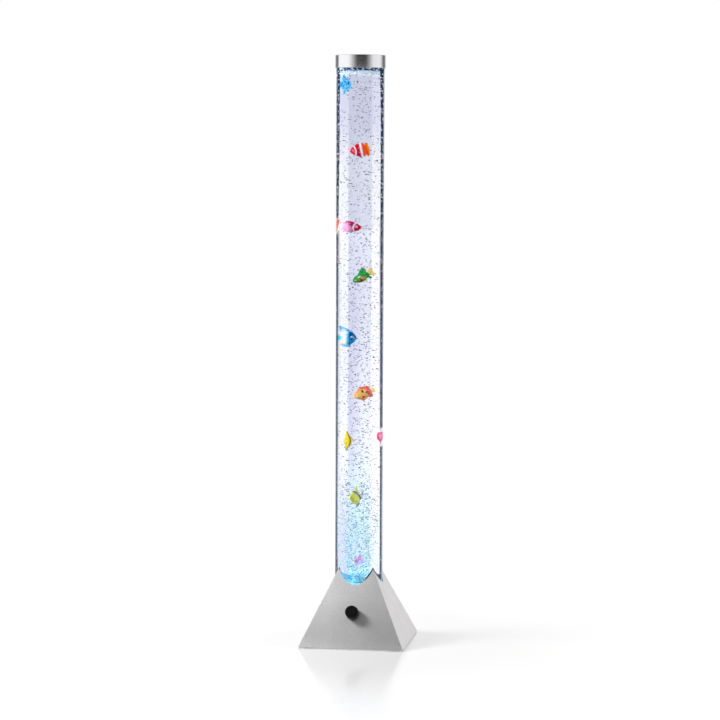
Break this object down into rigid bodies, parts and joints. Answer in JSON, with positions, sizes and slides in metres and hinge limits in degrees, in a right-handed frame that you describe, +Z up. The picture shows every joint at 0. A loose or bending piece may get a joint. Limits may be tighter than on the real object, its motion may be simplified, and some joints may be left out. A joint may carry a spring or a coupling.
{
  "type": "bubble tube floor lamp",
  "caption": "Floor lamp: a tall clear tube of water with drifting plastic fish on a pyramid steel foot, with a turning knob and a lift-off cap.",
  "frame": {"origin": "on the floor, at the middle of the square foot, under the tube's axis", "axes": "+Z up along the tube; the control knob's face looks towards -Y, +X is to its right"},
  "size_m": [0.215, 0.215, 1.195],
  "materials": {
    "brushed_foot": "brushed stainless sheet, satin",
    "cap_metal": "satin steel, turned",
    "zinc_steel": "zinc-plated steel",
    "foot_rubber": "matt black rubber",
    "black_moulding": "matt black moulded plastic",
    "white_moulding": "white moulded plastic",
    "clear_tube": "clear acrylic",
    "clear_floor": "clear acrylic, lit from below",
    "air_stone": "sintered grey stone",
    "led_emitter": "lamp package",
    "board": "circuit board",
    "board_part": "moulded parts and windings",
    "knob_black": "black, semi-gloss",
    "lead": "insulated wire",
    "pump_case": "moulded plastic",
    "iron": "laminated iron",
    "copper": "enamelled copper winding",
    "brass": "sheet brass",
    "silicone": "translucent silicone",
    "valve_blue": "clear blue plastic",
    "fish_blue": "light blue with pale spots",
    "fish_red": "red, white and orange bands",
    "fish_pink": "pink and red bands",
    "fish_green": "green with cream patches",
    "fish_angel": "blue with a yellow patch",
    "fish_orange": "orange with pink fins",
    "fish_yellow": "yellow with a dark stripe",
    "fish_magenta": "magenta and pink",
    "fish_yellow_blue": "yellow and blue bands",
    "fish_violet": "pink and violet"
  },
  "bodies": {
    "root": {"base_housing": "brushed_foot", "housing_tabs": "brushed_foot", "base_plate": "zinc_steel", "tab_screws": "zinc_steel", "rubber_feet": "foot_rubber", "socket_pillars": "zinc_steel", "pillar_screws": "zinc_steel", "tube_socket": "black_moulding", "seat_gasket": "foot_rubber", "clamp_screws": "zinc_steel", "tube": "clear_tube", "tube_floor": "clear_floor", "air_nozzle": "white_moulding", "nozzle_nut": "white_moulding", "nozzle_seal": "foot_rubber", "air_stone": "air_stone", "led_board": "white_moulding", "leds": "led_emitter", "led_screws": "zinc_steel", "control_board": "board", "board_parts": "board_part", "board_spacers": "white_moulding", "board_screws": "zinc_steel", "dimmer_body": "zinc_steel", "dimmer_washer": "zinc_steel", "dimmer_nut": "zinc_steel", "dc_inlet": "black_moulding", "inlet_nut": "zinc_steel", "wiring": "lead", "pump_pads": "foot_rubber", "pump_base": "pump_case", "pump_cover": "pump_case", "pump_screws": "zinc_steel", "pump_core": "iron", "pump_coil": "copper", "pump_pivot": "zinc_steel", "pump_valve_box": "pump_case", "pump_diaphragm": "foot_rubber", "hose_lower": "silicone", "check_valve": "valve_blue", "hose_upper": "silicone"},
    "cap": {"cap_shell": "cap_metal", "cap_liner": "white_moulding"},
    "knob": {"knob": "knob_black", "knob_face": "knob_black", "dimmer_shaft": "zinc_steel"},
    "pump_arm": {"pump_arm": "brass", "pump_magnet": "iron"},
    "fish_spotted_blue": {"fish_spotted_blue": "fish_blue"},
    "fish_red_banded": {"fish_red_banded": "fish_red"},
    "fish_pink_banded": {"fish_pink_banded": "fish_pink"},
    "fish_green": {"fish_green": "fish_green"},
    "fish_blue_angel": {"fish_blue_angel": "fish_angel"},
    "fish_orange": {"fish_orange": "fish_orange"},
    "fish_yellow_striped": {"fish_yellow_striped": "fish_yellow"},
    "fish_magenta": {"fish_magenta": "fish_magenta"},
    "fish_yellow_blue": {"fish_yellow_blue": "fish_yellow_blue"},
    "fish_pink_violet": {"fish_pink_violet": "fish_violet"}
  },
  "joints": [
    {"name": "cap_lift", "type": "slide", "parent": "root", "child": "cap", "axis": [0, 0, 1], "range_m": [0, 0.04]},
    {"name": "knob_turn", "type": "hinge", "parent": "root", "child": "knob", "pos_m": [0, -0.07639, 0.0677], "axis": [0, -0.9038, 0.428], "range_deg": [0, 300]},
    {"name": "pump_swing", "type": "hinge", "parent": "root", "child": "pump_arm", "pos_m": [-0.038, 0.015, 0.031], "axis": [0, 0, 1], "range_deg": [-1.5, 1.5], "stiffness_Nm_per_rad": 2},
    {"name": "fish_spotted_blue_drift", "type": "slide", "parent": "root", "child": "fish_spotted_blue", "axis": [0, 0, 1], "range_m": [-0.04, 0.005]},
    {"name": "fish_red_banded_drift", "type": "slide", "parent": "root", "child": "fish_red_banded", "axis": [0, 0, 1], "range_m": [-0.04, 0.04]},
    {"name": "fish_pink_banded_drift", "type": "slide", "parent": "root", "child": "fish_pink_banded", "axis": [0, 0, 1], "range_m": [-0.03, 0.04]},
    {"name": "fish_green_drift", "type": "slide", "parent": "root", "child": "fish_green", "axis": [0, 0, 1], "range_m": [-0.04, 0.025]},
    {"name": "fish_blue_angel_drift", "type": "slide", "parent": "root", "child": "fish_blue_angel", "axis": [0, 0, 1], "range_m": [-0.03, 0.04]},
    {"name": "fish_orange_drift", "type": "slide", "parent": "root", "child": "fish_orange", "axis": [0, 0, 1], "range_m": [-0.03, 0.04]},
    {"name": "fish_yellow_striped_drift", "type": "slide", "parent": "root", "child": "fish_yellow_striped", "axis": [0, 0, 1], "range_m": [-0.04, 0.025]},
    {"name": "fish_magenta_drift", "type": "slide", "parent": "root", "child": "fish_magenta", "axis": [0, 0, 1], "range_m": [-0.04, 0.02]},
    {"name": "fish_yellow_blue_drift", "type": "slide", "parent": "root", "child": "fish_yellow_blue", "axis": [0, 0, 1], "range_m": [-0.03, 0.025]},
    {"name": "fish_pink_violet_drift", "type": "slide", "parent": "root", "child": "fish_pink_violet", "axis": [0, 0, 1], "range_m": [-0.012, 0.04]}
  ]
}
